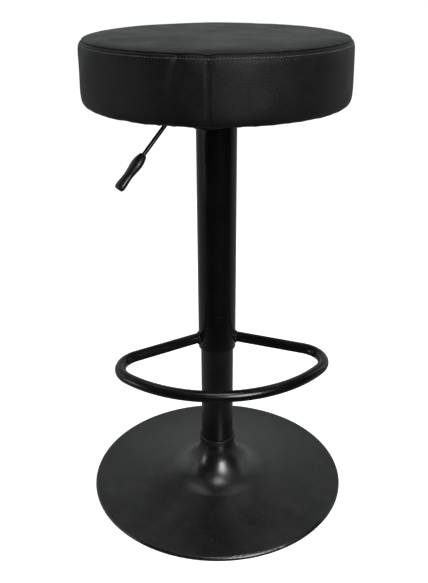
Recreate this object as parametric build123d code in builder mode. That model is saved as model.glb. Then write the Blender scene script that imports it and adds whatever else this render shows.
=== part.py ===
from build123d import *
import os
from math import cos, radians, sin, sqrt, tan

os.makedirs("parts", exist_ok=True)

# Height-adjustable bar stool. A padded round seat turns and rises on a gas spring, over a column
# of two telescoping tubes. A D-shaped footrest is welded to the outer tube, and the inner tube
# stands on a trumpet-shaped base. Origin on the floor at the column's axis, +Z up, and the
# footrest points along -Y. Millimetres and degrees.

# ---- Driving dimensions ----
# Overall
base_radius = 202.5
seat_radius = 180.0
seat_top = 709.3  # crown of the cushion, at the height the seat is set to
seat_thickness = 87.2
travel_down = 105.0
travel_up = 100.0
fit = 0.05  # radial clearance of a running or threaded fit
gap = 0.3  # clearance between pieces that must not touch

# Base
base_wall = 1.2
rim_round = 4.0
rim_edge = 0.2  # upright stretch between the rim's round and the lip's
lip_width = 15.0
lip_round = 1.8
floor_ring_height = 2.0
floor_ring_inset = 2.0
dish_slope = 8.3  # where the flare ends; the dish is level at the rim
neck_clearance = 1.0  # between the lower tube and the shell's neck
neck_top = 79.0
trim_ring_height = 5.0
trim_ring_width = 3.4
trim_ring_skirt = 3.0
base_plate_wall = 3.0
base_plate_rise = 6.3  # how far the plate's middle is pressed up
base_plate_margin = 14.0  # raised middle past the foot flange
base_plate_joggle = 8.0
base_plate_hole = 18.0

# Column
lower_tube_radius = 25.0
tube_clearance = 2.0  # between the two tubes
tube_wall = 1.5
foot_flange_width = 24.0
foot_flange_height = 8.0
foot_bolt_inset = 13.0  # bolt circle outside the lower tube
foot_bolt_count = 4
foot_bolt_radius = 4.0
foot_washer_height = 1.6
foot_head_height = 5.3
foot_head_flats = 13.0
foot_washer_radius = 8.0
lowest_gap = 58.0  # trim ring to the upper tube's lower end, with the seat right down
slide_ring_length = 18.0
slide_ring_lip = 1.5
bush_length = 80.0
bush_lip = 2.5

# Footrest
footrest_radius = 185.0  # front arc
footrest_centre = 13.8  # of the front arc, behind the column's axis
footrest_tube = 8.0
footrest_wall = 1.5
footrest_corner = 40.0
footrest_arm_angle = 26.8  # how far each arm leans forward
footrest_margin = 4.8  # upper tube's edge below the footrest's bar
weld_width = 3.0

# Gas spring and its thrust bearing
cylinder_radius = 14.0
cylinder_wall = 1.5
cone_length = 56.0
cone_angle = 1.44
cylinder_head = 64.0  # solid top of the cylinder, cone included
cylinder_lip = 1.0  # cylinder's lower edge turned in under the rod guide
stroke_spare = 5.0  # piston to the rod guide, with the seat right up
buffer_spare = 1.0  # buffer to the cylinder, with the seat right down
bush_spare = 9.5  # guide bush to the taper socket, with the seat right down
rod_radius = 5.0
rod_foot_radius = 4.0
rod_guide_length = 20.0
piston_height = 12.0
piston_stud = 3.0
piston_seal_height = 3.0
buffer_height = 12.0
buffer_radius = 12.0
plug_height = 12.0
race_height = 2.5
race_radius = 13.0
groove_depth = 0.8
ball_radius = 2.0
ball_circle = 9.5
ball_count = 9
ball_play = 0.02
cage_height = 1.2
clip_height = 1.1
clip_washer_height = 1.5
clip_tail = 3.0  # rod left below the clip
clip_depth = 1.0  # groove that the clip sits in
clip_width = 2.5  # clip past the rod
clip_washer_width = 5.0
piston_clearance = 0.15
piston_groove = 2.5
cage_bore_gap = 1.0

# Seat mechanism
lever_azimuth = 203.5
plate_size = 160.0
plate_wall = 2.5
plate_corner = 14.0
plate_flange = 25.0  # width of the flange round the pan
pan_depth = 28.0
pan_corner = 16.0
bolt_edge = 15.0  # bolts in from the plate's edge
bolt_radius = 3.0
bolt_hole = 3.4
bolt_head_height = 4.0
bolt_head_flats = 10.0
washer_radius = 6.5
washer_height = 1.4
lock_washer_height = 1.5
lock_washer_width = 2.5
lock_washer_split = 0.8
lock_washer_slant = 20.0  # degrees
tee_nut_radius = 9.5
tee_nut_flange = 1.2
tee_nut_wall = 1.2
tee_nut_short = 2.0  # barrel's end above the board's underside
socket_wall = 4.0
socket_length = 50.0
cone_proud = 2.0  # cone's end above the socket
button_radius = 4.0
button_height = 5.0
button_stem = 2.5
button_play = 5.0  # depth of the well under the button's head, past its height
button_rest = 0.6  # left under the button when it is pressed

# Release lever
pivot_inset = 13.0  # pivot in from the pan's outside
pivot_rise = 13.5  # above the pan's floor
lever_pin_radius = 2.5
hub_radius = 5.0
hub_width = 14.0
paddle_height = 3.0
paddle_width = 12.0
paddle_reach = 8.0  # past the column's axis
paddle_gap = 0.4  # paddle to the button's top
paddle_rise = 1.4  # paddle's top above the hub
ear_wall = 2.5
lever_rod_radius = 3.0
lever_reach = 8.6  # pan's outside to the lever's bend
lever_bend_radius = 12.0
lever_slope = 47.4
lever_length = 125.5  # from the bend to the grip's end
lever_lift = 6.0  # degrees of travel
slot_below = 2.0  # room under the rod in the pan's slot
slot_above = 3.0
ear_top_margin = 1.0
pin_head_height = 1.5
pin_head_width = 1.5
pin_tail = 1.0
grip_length = 57.0
grip_width = 19.0
grip_height = 13.4
grip_notch_radius = 4.0
grip_notch_depth = 1.3

# Upholstery
cover_thickness = 1.2
seat_lower_round = 9.0
shoulder_width = 9.0
crown_height = 2.5  # of the top panel alone
seam_drop = 8.0  # crown to the seam between top panel and side band
board_thickness = 12.0
board_edge = 1.0  # board's edge in from the side band's round
dust_cover_thickness = 0.6
dust_cover_gap = 2.0  # round the plate's corners
dust_cover_inside = 20.0  # cloth between that gap and the hem
staple_count = 24
staple_crown = 10.0
staple_wire = 0.9
staple_leg = 6.0

# Hollowing and cutting tools, longer than what they cut
cutter_length = 100.0

# ---- Heights and radii that follow from them ----
lower_tube_bore = lower_tube_radius - tube_wall
upper_tube_bore = lower_tube_radius + tube_clearance
upper_tube_radius = upper_tube_bore + tube_wall
neck_radius = lower_tube_radius + neck_clearance + base_wall
lip_top = floor_ring_height + base_wall
rim_height = floor_ring_height + lip_round + rim_edge + rim_round

# The flare's end, where the arc of the dish starts: both arcs share the slope there
flare_top = neck_top - trim_ring_skirt
flare_spread = tan(radians(45 - dish_slope / 2))  # the flare's width over its height
dish_rise = tan(radians(dish_slope / 2))  # the dish's height over its width
dish_end = base_radius - rim_round
flare_foot = (rim_height + dish_rise * (dish_end - neck_radius - flare_spread * flare_top)) / (
    1 - dish_rise * flare_spread
)
flare_radius = (flare_top - flare_foot) / cos(radians(dish_slope))

foot_flange_radius = lower_tube_radius + foot_flange_width
foot_bolt_circle = lower_tube_radius + foot_bolt_inset
base_plate_middle = foot_flange_radius + base_plate_margin
plate_underside = lip_top + base_plate_rise  # of the raised middle
foot_bottom = plate_underside + base_plate_wall
plug_top = foot_bottom + plug_height
trim_top = neck_top + trim_ring_height

ball_centre = plug_top + race_height - groove_depth + ball_play + ball_radius
upper_race_bottom = ball_centre + ball_radius + ball_play - groove_depth
upper_race_top = upper_race_bottom + race_height
buffer_top = upper_race_top + buffer_height

seat_bottom = seat_top - seat_thickness
board_bottom = seat_bottom + cover_thickness
board_top = board_bottom + board_thickness
board_radius = seat_radius - seat_lower_round - board_edge
seam_height = seat_top - seam_drop
pan_size = plate_size - 2 * plate_flange
bolt_spacing = plate_size - 2 * bolt_edge
plate_reach = (plate_size / 2 - plate_corner) * sqrt(2) + plate_corner
flange_bottom = board_bottom - plate_wall
pan_bottom = board_bottom - pan_depth
pan_floor = pan_bottom + plate_wall

cylinder_bottom = buffer_top + travel_down + buffer_spare
cylinder_bore = cylinder_radius - cylinder_wall
socket_radius = cylinder_radius + socket_wall
pivot_height = pan_floor + pivot_rise
lever_pivot = pan_size / 2 - pivot_inset  # from the column's axis
lever_bend = pan_size / 2 + lever_reach  # from the column's axis
paddle_bottom = pivot_height + hub_radius - paddle_height + paddle_rise
cylinder_top = paddle_bottom - paddle_gap - button_height
cone_bottom = cylinder_top - cone_length
socket_top = cylinder_top - cone_proud
socket_bottom = socket_top - socket_length
piston_bottom = cylinder_bottom + travel_up + rod_guide_length + stroke_spare

lower_tube_top = socket_bottom - travel_down - bush_lip - bush_spare
slide_ring_bottom = trim_top + travel_down + lowest_gap
upper_tube_bottom = slide_ring_bottom + slide_ring_lip
footrest_height = upper_tube_bottom + footrest_margin + footrest_tube

lever_direction = Vector(cos(radians(lever_azimuth)), sin(radians(lever_azimuth)), 0)
lever_plane = Plane(
    origin=(0, 0, 0), x_dir=lever_direction, z_dir=lever_direction.rotate(Axis.Z, -90)
)  # the lever's own upright plane: x is the distance from the column's axis, y the height


def cone_radius(height):
    """Radius of the cylinder's cone at a height."""
    return cylinder_radius - (height - cone_bottom) * tan(radians(cone_angle))


def mechanism_plane(height):
    """Level plane whose x axis points along the lever."""
    return Plane(origin=(0, 0, height), x_dir=lever_direction, z_dir=(0, 0, 1))


def save(piece, name):
    piece.label = name
    export_step(piece, f"parts/{name}.step")


def turned(*rings):
    """Solid of rings about Z, each given as (inner radius, outer radius, bottom, top)."""
    with BuildPart() as piece:
        with BuildSketch(Plane.XZ):
            for inner, outer, bottom, top in rings:
                with Locations((inner, bottom)):
                    Rectangle(outer - inner, top - bottom, align=(Align.MIN, Align.MIN))
        revolve(axis=Axis.Z)
    return piece.part


def washers(places, inner, outer, bottom, height, plane_at=mechanism_plane):
    """One flat ring at each place."""
    with BuildPart() as piece:
        with BuildSketch(plane_at(bottom)):
            with places:
                Circle(outer)
                Circle(inner, mode=Mode.SUBTRACT)
        extrude(amount=height)
    return piece.part


def hex_bolts(places, radius, flats, head_bottom, head_height, tip, plane_at=mechanism_plane):
    """Hexagon bolts with their heads down, pointing up to the height of their tips."""
    with BuildPart() as piece:
        with BuildSketch(plane_at(head_bottom)):
            with places:
                RegularPolygon(flats / 2, 6, major_radius=False)
        extrude(amount=head_height)
        chamfer(piece.faces().group_by(Axis.Z)[0].edges(), head_height / 10)
        with BuildSketch(plane_at(head_bottom + head_height)):
            with places:
                Circle(radius)
        extrude(amount=tip - head_bottom - head_height)
        chamfer(piece.faces().group_by(Axis.Z)[-1].edges(), radius / 5)
    return piece.part


def level_plane(height):
    return Plane.XY.offset(height)


# ---- Base ----
# Trumpet-shaped steel shell: neck, flare, shallow dish, rolled rim and a lip turned under
with BuildPart() as base_shell:
    with BuildSketch(Plane.XZ):
        with BuildLine():
            neck = Line((neck_radius, neck_top), (neck_radius, flare_top))
            flare = JernArc(neck @ 1, (0, -1), flare_radius, 90 - dish_slope)
            dish = TangentArc(flare @ 1, (dish_end, rim_height), tangent=flare % 1)
            rim = TangentArc(
                dish @ 1, (base_radius, rim_height - rim_round), tangent=dish % 1
            )
            wall = Line(rim @ 1, (base_radius, floor_ring_height + lip_round))
            turn = TangentArc(
                wall @ 1, (base_radius - lip_round, floor_ring_height), tangent=(0, -1)
            )
            Line(turn @ 1, (base_radius - lip_width, floor_ring_height))
            offset(amount=base_wall, side=Side.RIGHT)
        make_face()
    revolve(axis=Axis.Z)
save(base_shell.part, "base_shell")

# Rubber ring that the stool stands on
floor_ring_outer = base_radius - floor_ring_inset
floor_ring_inner = base_radius - lip_width + floor_ring_inset
with BuildPart() as floor_ring:
    with BuildSketch(Plane.XZ):
        with Locations(((floor_ring_inner + floor_ring_outer) / 2, floor_ring_height / 2)):
            Rectangle(floor_ring_outer - floor_ring_inner, floor_ring_height)
    revolve(axis=Axis.Z)
    chamfer(floor_ring.edges().group_by(Axis.Z)[0], floor_ring_height / 4)
save(floor_ring.part, "floor_ring")

# Pressed steel plate that closes and weights the base, its middle raised over the bolt heads
foot_places = PolarLocations(foot_bolt_circle, foot_bolt_count, start_angle=45)
base_plate_radius = base_radius - base_wall - lip_round - gap
with BuildPart() as base_plate:
    with BuildSketch(Plane.XZ):
        with BuildLine():
            Polyline(
                (base_plate_hole, plate_underside),
                (base_plate_middle, plate_underside),
                (base_plate_middle + base_plate_joggle, lip_top),
                (base_plate_radius, lip_top),
            )
            offset(amount=base_plate_wall, side=Side.LEFT)
        make_face()
    revolve(axis=Axis.Z)
    with BuildSketch(level_plane(plate_underside)):
        with foot_places:
            Circle(foot_bolt_radius + gap)
    extrude(amount=base_plate_wall, mode=Mode.SUBTRACT)
save(base_plate.part, "base_plate")

# Flange welded round the foot of the lower tube, and the bolts that hold the plate to it
with BuildPart() as foot_flange:
    with BuildSketch(level_plane(foot_bottom)):
        Circle(foot_flange_radius)
        Circle(lower_tube_radius, mode=Mode.SUBTRACT)
        with foot_places:
            Circle(foot_bolt_radius + fit, mode=Mode.SUBTRACT)
    extrude(amount=foot_flange_height)
    chamfer(foot_flange.edges().group_by(Axis.Z)[-1].sort_by(SortBy.LENGTH)[-1], 1.0)
save(foot_flange.part, "foot_flange")

foot_head_bottom = plate_underside - foot_washer_height - foot_head_height
save(
    washers(
        foot_places,
        foot_bolt_radius + gap,
        foot_washer_radius,
        plate_underside - foot_washer_height,
        foot_washer_height,
        level_plane,
    ),
    "foot_washers",
)
save(
    hex_bolts(
        foot_places,
        foot_bolt_radius,
        foot_head_flats,
        foot_head_bottom,
        foot_head_height,
        foot_bottom + foot_flange_height,
        level_plane,
    ),
    "foot_bolts",
)

# Plastic ring that covers the neck's edge
trim_bore = lower_tube_radius + fit
trim_skirt_bore = neck_radius + fit
trim_outer = lower_tube_radius + trim_ring_width
with BuildPart() as trim_ring:
    with BuildSketch(Plane.XZ):
        with BuildLine():
            Polyline(
                (trim_bore, neck_top),
                (trim_skirt_bore, neck_top),
                (trim_skirt_bore, neck_top - trim_ring_skirt),
                (trim_outer, neck_top - trim_ring_skirt),
                (trim_outer, trim_top),
                (trim_bore, trim_top),
                close=True,
            )
        make_face()
    revolve(axis=Axis.Z)
    fillet(
        trim_ring.edges().group_by(Axis.Z)[-1].sort_by(SortBy.LENGTH)[-1],
        trim_ring_width / 3,
    )
save(trim_ring.part, "neck_trim_ring")

# ---- Lower column ----
save(turned((lower_tube_bore, lower_tube_radius, foot_bottom, lower_tube_top)), "lower_tube")
save(
    turned((rod_foot_radius + gap, lower_tube_bore, foot_bottom, plug_top)), "tube_foot_plug"
)
save(
    turned(
        (cylinder_radius + fit, lower_tube_bore, lower_tube_top - bush_length, lower_tube_top),
        (cylinder_radius + fit, lower_tube_radius, lower_tube_top, lower_tube_top + bush_lip),
    ),
    "cylinder_guide_bush",
)

# ---- Thrust bearing under the piston rod ----
race_bore = rod_foot_radius + gap / 2
for race_name, race_bottom in (
    ("bearing_lower_race", plug_top),
    ("bearing_upper_race", upper_race_bottom),
):
    with BuildPart() as race:
        with BuildSketch(Plane.XZ):
            with Locations((race_bore, race_bottom)):
                Rectangle(
                    race_radius - race_bore, race_height, align=(Align.MIN, Align.MIN)
                )
            with Locations((ball_circle, ball_centre)):
                Circle(ball_radius + ball_play, mode=Mode.SUBTRACT)
        revolve(axis=Axis.Z)
    save(race.part, race_name)

with BuildPart() as bearing_cage:
    with BuildSketch(level_plane(ball_centre - cage_height / 2)):
        Circle(race_radius - gap)
        Circle(race_bore + cage_bore_gap, mode=Mode.SUBTRACT)
        with PolarLocations(ball_circle, ball_count):
            Circle(ball_radius + 2 * fit, mode=Mode.SUBTRACT)
    extrude(amount=cage_height)
save(bearing_cage.part, "bearing_cage")

with BuildPart() as bearing_balls:
    with Locations((0, 0, ball_centre)):
        with PolarLocations(ball_circle, ball_count):
            Sphere(ball_radius)
save(bearing_balls.part, "bearing_balls")

# ---- Piston rod and what rides on it ----
clip_washer_bottom = foot_bottom - clip_washer_height - gap / 2
clip_bottom = clip_washer_bottom - clip_height
rod_bottom = clip_bottom - clip_tail
clip_neck = rod_foot_radius - clip_depth
piston_top = piston_bottom + piston_height
save(
    turned(
        (0, rod_foot_radius, rod_bottom, clip_bottom),
        (0, clip_neck, clip_bottom, clip_washer_bottom),
        (0, rod_foot_radius, clip_washer_bottom, upper_race_top),
        (0, rod_radius, upper_race_top, piston_bottom),
        (0, piston_stud, piston_bottom, piston_top),
    ),
    "piston_rod",
)
save(
    turned((rod_radius + fit, buffer_radius, upper_race_top, buffer_top)), "rod_buffer"
)
save(
    turned(
        (
            rod_foot_radius + fit,
            rod_foot_radius + clip_washer_width,
            clip_washer_bottom,
            clip_washer_bottom + clip_washer_height,
        )
    ),
    "rod_clip_washer",
)
with BuildPart() as rod_clip:
    with BuildSketch(level_plane(clip_bottom)):
        Circle(rod_foot_radius + clip_width)
        Circle(clip_neck, mode=Mode.SUBTRACT)
        with Locations((0, -rod_foot_radius)):
            Rectangle(1.6 * clip_neck, 2 * rod_foot_radius, mode=Mode.SUBTRACT)
    extrude(amount=clip_height)
save(rod_clip.part, "rod_clip")

seal_bottom = piston_bottom + (piston_height - piston_seal_height) / 2
seal_bore = cylinder_bore - piston_groove
piston_radius = cylinder_bore - piston_clearance
with BuildPart() as piston:
    with BuildSketch(Plane.XZ):
        with Locations((piston_stud, piston_bottom)):
            Rectangle(
                piston_radius - piston_stud, piston_height, align=(Align.MIN, Align.MIN)
            )
        with Locations((seal_bore, seal_bottom)):
            Rectangle(
                piston_radius, piston_seal_height, align=(Align.MIN, Align.MIN), mode=Mode.SUBTRACT
            )
    revolve(axis=Axis.Z)
save(piston.part, "piston")
save(
    turned((seal_bore, cylinder_bore - fit, seal_bottom, seal_bottom + piston_seal_height)),
    "piston_seal",
)

# ---- Gas cylinder, which rises with the seat ----
button_well = button_height + button_play
head_bottom = cylinder_top - cylinder_head
with BuildPart() as gas_cylinder:
    with BuildSketch(Plane.XZ):
        with BuildLine():
            Polyline(
                (cylinder_bore, cylinder_bottom),
                (cylinder_radius, cylinder_bottom),
                (cylinder_radius, cone_bottom),
                (cone_radius(cylinder_top), cylinder_top),
                (button_radius + fit, cylinder_top),
                (button_radius + fit, cylinder_top - button_well),
                (button_stem + fit, cylinder_top - button_well),
                (button_stem + fit, head_bottom),
                (cylinder_bore, head_bottom),
                close=True,
            )
        make_face()
    revolve(axis=Axis.Z)
save(gas_cylinder.part, "gas_cylinder")
save(
    turned(
        (
            rod_radius + fit,
            cylinder_bore,
            cylinder_bottom + cylinder_lip,
            cylinder_bottom + cylinder_lip + rod_guide_length,
        )
    ),
    "rod_guide_seal",
)

# Release button in the cylinder's top
button_top = cylinder_top + button_height
button_bottom = cylinder_top - button_well + lever_pivot * radians(lever_lift) + button_rest
with BuildPart() as release_button:
    with BuildSketch(Plane.XZ):
        with Locations((0, button_bottom)):
            Rectangle(
                button_radius, button_top - button_bottom, align=(Align.MIN, Align.MIN)
            )
        with Locations((0, button_bottom - cylinder_head / 2)):
            Rectangle(button_stem, cylinder_head / 2, align=(Align.MIN, Align.MIN))
    revolve(axis=Axis.Z)
    fillet(release_button.edges().group_by(Axis.Z)[-1], button_radius / 2.5)
save(release_button.part, "release_button")

# ---- Upper column ----
save(turned((upper_tube_bore, upper_tube_radius, upper_tube_bottom, pan_bottom)), "upper_tube")
slide_ring_bore = lower_tube_radius + 3 * fit
with BuildPart() as slide_ring:
    with BuildSketch(Plane.XZ):
        with BuildLine():
            Polyline(
                (slide_ring_bore, slide_ring_bottom),
                (upper_tube_radius, slide_ring_bottom),
                (upper_tube_radius, upper_tube_bottom),
                (upper_tube_bore, upper_tube_bottom),
                (upper_tube_bore, slide_ring_bottom + slide_ring_length),
                (slide_ring_bore, slide_ring_bottom + slide_ring_length),
                close=True,
            )
        make_face()
    revolve(axis=Axis.Z)
    fillet(
        slide_ring.edges().group_by(Axis.Z)[0].sort_by(SortBy.LENGTH)[-1],
        slide_ring_lip * 0.6,
    )
save(slide_ring.part, "upper_tube_slide_ring")

# ---- Footrest: straight arms, round corners, front arc ----
arm_start = Vector(upper_tube_radius, 0)
arm_along = Vector(cos(radians(footrest_arm_angle)), -sin(radians(footrest_arm_angle)))
arm_forward = Vector(-sin(radians(footrest_arm_angle)), -cos(radians(footrest_arm_angle)))
corner_reach = footrest_radius - footrest_corner
front_centre = Vector(0, footrest_centre)
corner_base = arm_start + arm_forward * footrest_corner - front_centre
along = corner_base.dot(arm_along)
arm_length = sqrt(along**2 - corner_base.length**2 + corner_reach**2) - along
corner_out = (corner_base + arm_along * arm_length).normalized()
corner_centre = front_centre + corner_out * corner_reach
arm_end = arm_start + arm_along * arm_length
corner_middle = corner_centre + (corner_out - arm_forward).normalized() * footrest_corner
corner_end = front_centre + corner_out * footrest_radius
front_middle = (0, footrest_centre - footrest_radius)
arm_root = arm_start - arm_along * footrest_tube  # inside the column, cut off flush below


def spot(point, side=1):
    """A point of the footrest's plane, on the right or, with side -1, mirrored to the left."""
    return (side * point.X, point.Y)


with BuildPart() as footrest:
    with BuildLine(level_plane(footrest_height)) as footrest_path:
        Line(spot(arm_root, -1), spot(arm_end, -1))
        ThreePointArc(spot(arm_end, -1), spot(corner_middle, -1), spot(corner_end, -1))
        ThreePointArc(spot(corner_end, -1), front_middle, spot(corner_end))
        ThreePointArc(spot(corner_end), spot(corner_middle), spot(arm_end))
        Line(spot(arm_end), spot(arm_root))
    with BuildSketch(
        Plane(
            origin=footrest_path.line @ 0, x_dir=(0, 0, 1), z_dir=footrest_path.line % 0
        )
    ):
        Circle(footrest_tube)
        Circle(footrest_tube - footrest_wall, mode=Mode.SUBTRACT)
    sweep()
    with Locations((0, 0, footrest_height)):
        Cylinder(upper_tube_radius, cutter_length, mode=Mode.SUBTRACT)
save(footrest.part, "footrest")

# Weld beads where the arms meet the column
with BuildPart() as footrest_welds:
    for side in (1, -1):
        out = Vector(side * arm_along.X, arm_along.Y, 0)
        start = Vector(side * arm_start.X, arm_start.Y, footrest_height)
        with BuildSketch(Plane(origin=start - out * weld_width, z_dir=out)):
            Circle(footrest_tube + weld_width)
        extrude(amount=2 * weld_width, taper=30)
        with BuildSketch(Plane(origin=start - out * 2 * weld_width, z_dir=out)):
            Circle(footrest_tube)
        extrude(amount=5 * weld_width, mode=Mode.SUBTRACT)
    with Locations((0, 0, footrest_height)):
        Cylinder(upper_tube_radius, cutter_length, mode=Mode.SUBTRACT)
save(footrest_welds.part, "footrest_welds")

# ---- Seat mechanism ----
# Pressed plate: flat flange under the board, pan in the middle, slot for the lever in one wall
bolt_places = GridLocations(bolt_spacing, bolt_spacing, 2, 2)
slot_bottom = pivot_height - lever_rod_radius - slot_below
slot_top = pivot_height + lever_rod_radius + slot_above
with BuildPart() as seat_plate:
    with BuildSketch(mechanism_plane(flange_bottom)):
        RectangleRounded(plate_size, plate_size, plate_corner)
    extrude(amount=plate_wall)
    with BuildSketch(mechanism_plane(pan_bottom)):
        RectangleRounded(pan_size, pan_size, pan_corner)
    extrude(amount=pan_depth)
    fillet(seat_plate.edges().group_by(Axis.Z)[0], 2 * plate_wall)
    with BuildSketch(mechanism_plane(pan_floor)):
        RectangleRounded(
            pan_size - 2 * plate_wall, pan_size - 2 * plate_wall, pan_corner - plate_wall
        )
    extrude(amount=pan_depth, mode=Mode.SUBTRACT)
    with BuildSketch(mechanism_plane(pan_bottom)):
        Circle(socket_radius)
    extrude(amount=pan_depth, mode=Mode.SUBTRACT)
    with BuildSketch(mechanism_plane(flange_bottom)):
        with bolt_places:
            Circle(bolt_hole)
    extrude(amount=plate_wall, mode=Mode.SUBTRACT)
    with BuildSketch(
        Plane(
            origin=lever_direction * (pan_size / 2 - 3 * plate_wall),
            x_dir=lever_direction.rotate(Axis.Z, 90),
            z_dir=lever_direction,
        )
    ):
        with Locations((0, (slot_bottom + slot_top) / 2)):
            Rectangle(4 * lever_rod_radius, slot_top - slot_bottom)
    extrude(amount=6 * plate_wall, mode=Mode.SUBTRACT)
save(seat_plate.part, "seat_plate")

# Tapered socket welded through the pan, which the cylinder's cone wedges into
with BuildPart() as taper_socket:
    with BuildSketch(Plane.XZ):
        with BuildLine():
            Polyline(
                (cone_radius(socket_bottom), socket_bottom),
                (socket_radius, socket_bottom),
                (socket_radius, socket_top),
                (cone_radius(socket_top), socket_top),
                close=True,
            )
        make_face()
    revolve(axis=Axis.Z)
save(taper_socket.part, "taper_socket")

# Bolts, washers and tee nuts that hold the plate to the seat board
washer_bottom = flange_bottom - washer_height
lock_washer_bottom = washer_bottom - lock_washer_height
save(
    washers(bolt_places, bolt_radius + gap, washer_radius, washer_bottom, washer_height),
    "seat_washers",
)
with BuildPart() as lock_washers:
    with BuildSketch(mechanism_plane(lock_washer_bottom)):
        with bolt_places:
            Circle(bolt_radius + lock_washer_width)
            Circle(bolt_radius + gap / 2, mode=Mode.SUBTRACT)
        with bolt_places:
            with Locations((bolt_radius + lock_washer_width / 2, 0)):
                Rectangle(
                    lock_washer_width + bolt_radius / 4,
                    lock_washer_split,
                    rotation=lock_washer_slant,
                    mode=Mode.SUBTRACT,
                )
    extrude(amount=lock_washer_height)
save(lock_washers.part, "seat_lock_washers")
save(
    hex_bolts(
        bolt_places,
        bolt_radius,
        bolt_head_flats,
        lock_washer_bottom - bolt_head_height,
        bolt_head_height,
        board_top - tee_nut_flange,
    ),
    "seat_bolts",
)
tee_barrel_radius = bolt_radius + fit + tee_nut_wall
with BuildPart() as tee_nuts:
    with BuildSketch(mechanism_plane(board_top - tee_nut_flange)):
        with bolt_places:
            Circle(tee_nut_radius)
            Circle(bolt_radius + fit, mode=Mode.SUBTRACT)
    extrude(amount=tee_nut_flange)
    with BuildSketch(mechanism_plane(board_top - tee_nut_flange)):
        with bolt_places:
            Circle(tee_barrel_radius)
            Circle(bolt_radius + fit, mode=Mode.SUBTRACT)
    extrude(amount=tee_nut_flange + tee_nut_short - board_thickness)
save(tee_nuts.part, "tee_nuts")

# ---- Release lever ----
# Bracket bent from strip, its two ears holding the pivot pin
ear_inside = hub_width / 2 + gap
bracket_length = 3 * hub_radius
ear_top = pivot_height + hub_radius + ear_top_margin
bracket_plane = Plane(
    origin=lever_direction * lever_pivot,
    x_dir=lever_direction.rotate(Axis.Z, 90),
    z_dir=lever_direction,
)
with BuildPart() as lever_bracket:
    with BuildSketch(bracket_plane):
        with Locations((0, (pan_floor + ear_top) / 2)):
            Rectangle(2 * (ear_inside + ear_wall), ear_top - pan_floor)
        with Locations((0, (pan_floor + ear_wall + ear_top) / 2)):
            Rectangle(2 * ear_inside, ear_top - pan_floor - ear_wall, mode=Mode.SUBTRACT)
    extrude(amount=bracket_length / 2, both=True)
    with Locations(lever_plane.offset(-ear_inside - 2 * ear_wall)):
        with Locations((lever_pivot, pivot_height)):
            Cylinder(
                lever_pin_radius,
                2 * ear_inside + 4 * ear_wall,
                align=(Align.CENTER, Align.CENTER, Align.MIN),
                mode=Mode.SUBTRACT,
            )
save(lever_bracket.part, "lever_bracket")

with BuildPart() as lever_pin:
    with BuildSketch(lever_plane.offset(-ear_inside - ear_wall - pin_tail)):
        with Locations((lever_pivot, pivot_height)):
            Circle(lever_pin_radius)
    extrude(amount=2 * (ear_inside + ear_wall) + pin_tail)
    with BuildSketch(lever_plane.offset(ear_inside + ear_wall)):
        with Locations((lever_pivot, pivot_height)):
            Circle(lever_pin_radius + pin_head_width)
    extrude(amount=pin_head_height)
save(lever_pin.part, "lever_pin")

# Paddle that presses the button, with the hub that turns on the pin
with BuildPart() as lever_paddle:
    with BuildSketch(lever_plane.offset(-hub_width / 2)):
        with Locations((lever_pivot, pivot_height)):
            Circle(hub_radius)
    extrude(amount=hub_width)
    with BuildSketch(lever_plane.offset(-paddle_width / 2)):
        with Locations((-paddle_reach, paddle_bottom)):
            Rectangle(
                paddle_reach + lever_pivot, paddle_height, align=(Align.MIN, Align.MIN)
            )
    extrude(amount=paddle_width)
    with BuildSketch(lever_plane.offset(-hub_width / 2)):
        with Locations((lever_pivot, pivot_height)):
            Circle(lever_pin_radius + fit)
    extrude(amount=hub_width, mode=Mode.SUBTRACT)
save(lever_paddle.part, "lever_paddle")

# Bent steel rod from the hub to the grip
lever_down = Vector(cos(radians(lever_slope)), -sin(radians(lever_slope)))
bend_start = lever_bend - lever_bend_radius * tan(radians(lever_slope / 2))


def down_lever(distance):
    """Point of the lever's own plane, on its sloping stretch and that far from the bend."""
    point = Vector(lever_bend, pivot_height) + lever_down * distance
    return (point.X, point.Y)


with BuildPart() as lever_rod:
    with BuildLine(lever_plane) as rod_path:
        level = Line((lever_pivot + hub_radius / 2, pivot_height), (bend_start, pivot_height))
        bend = JernArc(level @ 1, (1, 0), lever_bend_radius, -lever_slope)
        Line(bend @ 1, down_lever(lever_length - grip_length / 4))
    with BuildSketch(Plane(origin=rod_path.line @ 0, z_dir=rod_path.line % 0)):
        Circle(lever_rod_radius)
    sweep()
    with BuildSketch(lever_plane.offset(-hub_width)):
        with Locations((lever_pivot, pivot_height)):
            Circle(hub_radius)
    extrude(amount=2 * hub_width, mode=Mode.SUBTRACT)
save(lever_rod.part, "lever_rod")

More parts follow.
